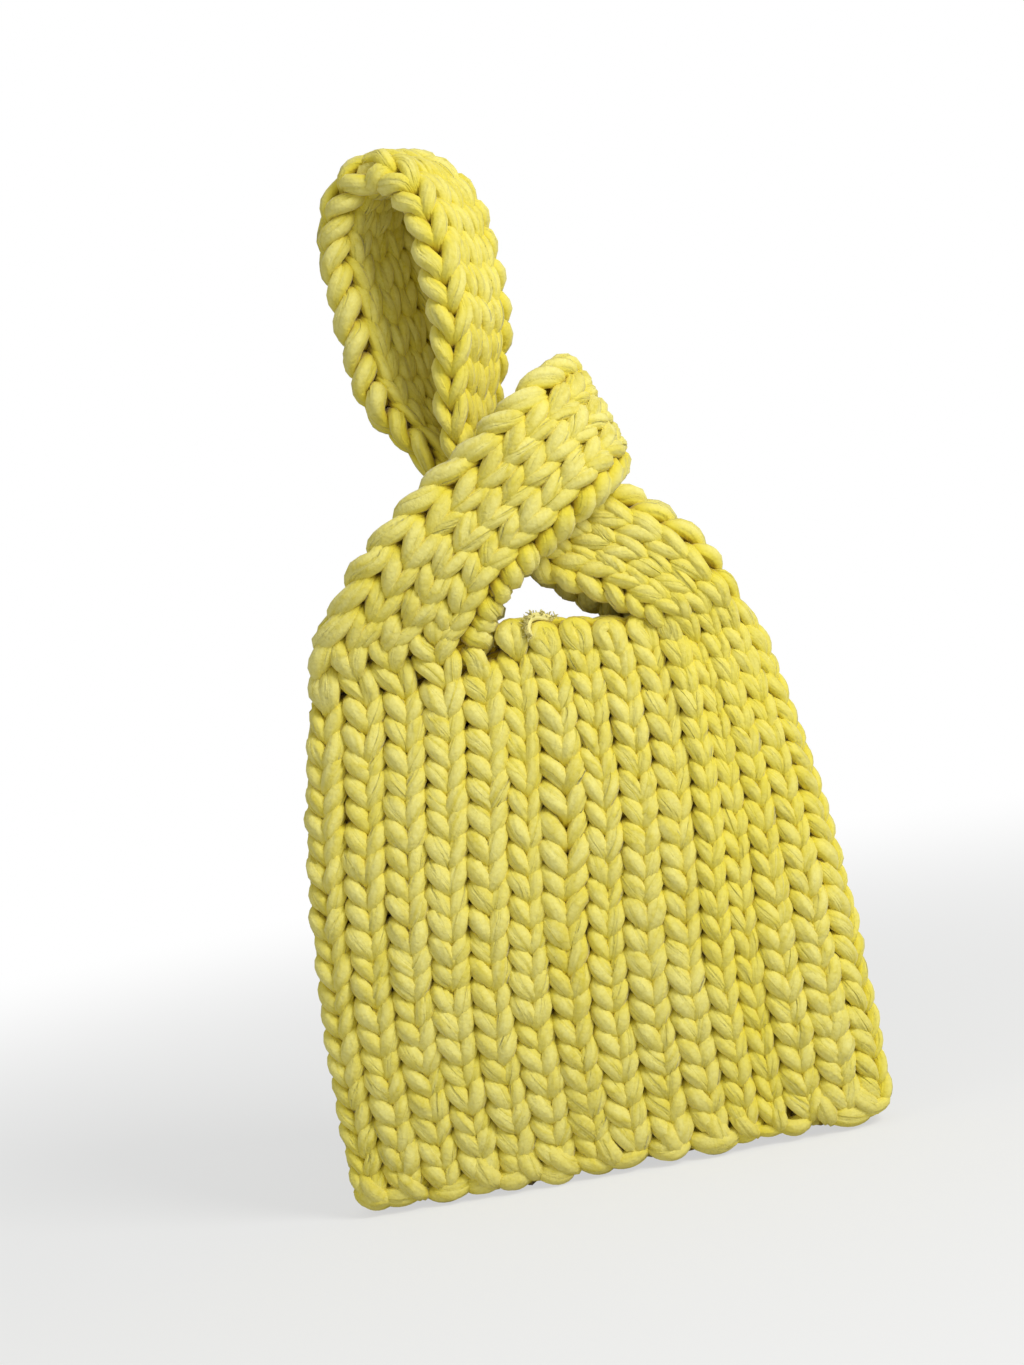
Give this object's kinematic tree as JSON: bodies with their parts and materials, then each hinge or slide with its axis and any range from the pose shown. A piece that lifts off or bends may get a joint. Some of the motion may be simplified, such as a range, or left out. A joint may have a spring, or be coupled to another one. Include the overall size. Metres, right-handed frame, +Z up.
{
  "type": "knitted knot bag",
  "caption": "Hand-knitted knot bag of pale yellow jersey yarn: a flat pouch, a short loop handle and a long handle threaded through it that ends in a grip for the hand or wrist.",
  "frame": {"origin": "where a hand bears on the underside of the grip's arch, in the middle of the bag's depth", "axes": "+Z up along the hanging bag, +X to the right seen from the front, the front faces -Y"},
  "size_m": [0.2, 0.0626, 0.3722],
  "materials": {
    "lemon_yarn": "matt cotton jersey",
    "seam_yarn": "matt cotton jersey",
    "frayed_yarn": "frayed cut edge"
  },
  "bodies": {
    "grip": {"grip_front": "lemon_yarn", "grip_back": "lemon_yarn", "grip_join": "seam_yarn"},
    "long_handle": {"long_handle_front": "lemon_yarn", "long_handle_back": "lemon_yarn"},
    "short_loop": {"short_handle_front": "lemon_yarn", "short_handle_back": "lemon_yarn", "short_handle_join": "seam_yarn"},
    "bag": {"front_panel": "lemon_yarn", "back_panel": "lemon_yarn", "front_mouth_edge": "seam_yarn", "back_mouth_edge": "seam_yarn", "left_side_seam": "seam_yarn", "right_side_seam": "seam_yarn", "bottom_seam": "seam_yarn", "yarn_tail": "frayed_yarn"}
  },
  "joints": [
    {"name": "grip_sway", "type": "hinge", "parent": "grip", "child": "long_handle", "pos_m": [0.00677, 0, -0.09676], "axis": [0, 1, 0], "range_deg": [-8, 30]},
    {"name": "bag_fold", "type": "hinge", "parent": "long_handle", "child": "bag", "pos_m": [0.0174, 0, -0.17895], "axis": [1, 0, 0], "range_deg": [-25, 25]},
    {"name": "loop_slide", "type": "hinge", "parent": "long_handle", "child": "short_loop", "pos_m": [-0.0661, 0, -0.17895], "axis": [0, -1, 0], "range_deg": [0, 4]}
  ]
}
